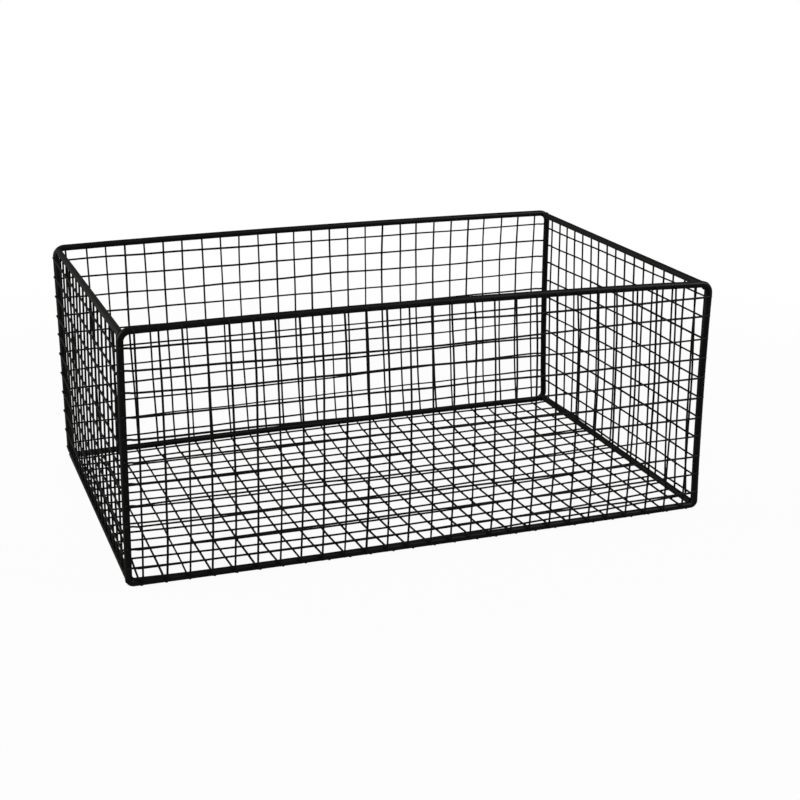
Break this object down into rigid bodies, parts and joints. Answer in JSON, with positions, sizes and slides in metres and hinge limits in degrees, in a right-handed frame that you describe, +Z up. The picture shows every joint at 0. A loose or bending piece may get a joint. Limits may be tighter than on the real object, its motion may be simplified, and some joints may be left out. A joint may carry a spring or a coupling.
{
  "type": "wire locker basket",
  "caption": "Open-topped rectangular wire basket: a welded frame of thick round rod, closed with square welded mesh on its walls and floor.",
  "frame": {"origin": "middle of the footprint, on the surface that the basket stands on", "axes": "+X along the width to the right, +Y from the front wall to the back wall, +Z up"},
  "size_m": [0.3548, 0.2248, 0.1468],
  "materials": {
    "frame_rod": "satin black paint",
    "mesh_wire": "satin black paint"
  },
  "bodies": {
    "root": {"front_ring": "frame_rod", "back_ring": "frame_rod", "left_bottom_rod": "frame_rod", "left_top_rod": "frame_rod", "right_bottom_rod": "frame_rod", "right_top_rod": "frame_rod", "front_uprights": "mesh_wire", "front_cross_wires": "mesh_wire", "back_uprights": "mesh_wire", "back_cross_wires": "mesh_wire", "left_uprights": "mesh_wire", "left_edge_uprights": "mesh_wire", "left_cross_wires": "mesh_wire", "right_uprights": "mesh_wire", "right_edge_uprights": "mesh_wire", "right_cross_wires": "mesh_wire", "floor_width_wires": "mesh_wire", "floor_edge_wires": "mesh_wire", "floor_depth_wires": "mesh_wire"}
  },
  "joints": []
}
